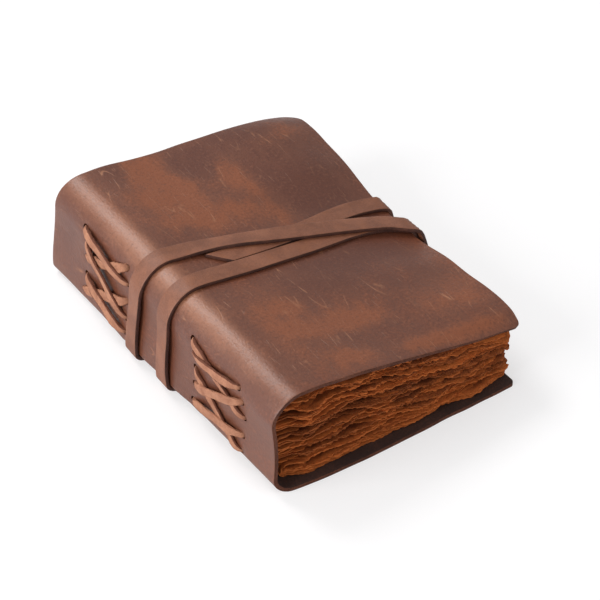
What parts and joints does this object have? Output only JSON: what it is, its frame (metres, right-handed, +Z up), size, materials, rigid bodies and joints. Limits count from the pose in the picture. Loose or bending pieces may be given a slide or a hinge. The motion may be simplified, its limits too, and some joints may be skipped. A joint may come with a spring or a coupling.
{
  "type": "scrapbook album",
  "caption": "Thick leather-wrapped journal album: soft cover laced through a flat spine, deckle-edged handmade pages in sewn signatures, and a wrapping leather strap.",
  "frame": {"origin": "under the middle of the closed book, on the surface that it lies on", "axes": "+X from the spine to the fore-edge, +Y from the tail to the head, +Z up through the front cover"},
  "size_m": [0.1597, 0.205, 0.0632],
  "materials": {
    "cover_leather": "waxed brown pull-up leather, satin, with lighter rubbed marks",
    "page_paper": "matte orange-brown handmade paper with torn deckle edges",
    "thong_leather": "tan leather lacing, matte, with fuzzy cut edges",
    "strap_leather": "brown leather strap, nubuck-like, with dark cut edges"
  },
  "bodies": {
    "back_cover": {"back_cover": "cover_leather"},
    "spine": {"spine": "cover_leather", "tail_stitches": "thong_leather", "head_stitches": "thong_leather", "tail_run_1": "thong_leather", "tail_run_2": "thong_leather", "tail_run_3": "thong_leather", "tail_run_4": "thong_leather", "tail_run_5": "thong_leather", "head_run_1": "thong_leather", "head_run_2": "thong_leather", "head_run_3": "thong_leather", "head_run_4": "thong_leather", "head_run_5": "thong_leather"},
    "front_cover": {"front_cover": "cover_leather"},
    "signature_1": {"signature_1": "page_paper"},
    "signature_2": {"signature_2": "page_paper"},
    "signature_3": {"signature_3": "page_paper"},
    "signature_4": {"signature_4": "page_paper"},
    "signature_5": {"signature_5": "page_paper"},
    "strap": {"wrap_strap": "strap_leather"}
  },
  "joints": [
    {"name": "front_cover_open", "type": "hinge", "parent": "spine", "child": "front_cover", "pos_m": [-0.0728, 0, 0.0589], "axis": [0, -1, 0], "range_deg": [0, 98.58], "deforming": ["wrap_strap"]},
    {"name": "spine_roll", "type": "hinge", "parent": "back_cover", "child": "spine", "pos_m": [-0.07412, 0, 0.00258], "axis": [0, -1, 0], "range_deg": [0, 90], "deforming": ["wrap_strap"]},
    {"name": "signature_1_turn", "type": "hinge", "parent": "spine", "child": "signature_1", "pos_m": [-0.0637, 0, 0.05161], "axis": [0, -1, 0], "range_deg": [0, 93.65]},
    {"name": "signature_2_turn", "type": "hinge", "parent": "spine", "child": "signature_2", "pos_m": [-0.0637, 0, 0.04123], "axis": [0, -1, 0], "range_deg": [0, 30.56]},
    {"name": "signature_3_turn", "type": "hinge", "parent": "spine", "child": "signature_3", "pos_m": [-0.0637, 0, 0.03085], "axis": [0, -1, 0], "range_deg": [0, 4.93]},
    {"name": "signature_4_turn", "type": "hinge", "parent": "spine", "child": "signature_4", "pos_m": [-0.0637, 0, 0.02047], "axis": [0, -1, 0], "range_deg": [-22.5, 0]},
    {"name": "signature_5_turn", "type": "hinge", "parent": "spine", "child": "signature_5", "pos_m": [-0.0637, 0, 0.01009], "axis": [0, -1, 0], "range_deg": [-90, 0]},
    {"name": "strap_slide", "type": "slide", "parent": "spine", "child": "strap", "axis": [0, 1, 0], "range_m": [0, 0.15], "deforming": ["wrap_strap"]}
  ],
  "couplings": [
    {"joint": "signature_1_turn", "follows": "front_cover_open", "ratio": 0.95},
    {"joint": "signature_2_turn", "follows": "front_cover_open", "ratio": 0.31},
    {"joint": "signature_3_turn", "follows": "front_cover_open", "ratio": 0.05},
    {"joint": "signature_4_turn", "follows": "spine_roll", "ratio": -0.25},
    {"joint": "signature_5_turn", "follows": "spine_roll", "ratio": -1}
  ]
}
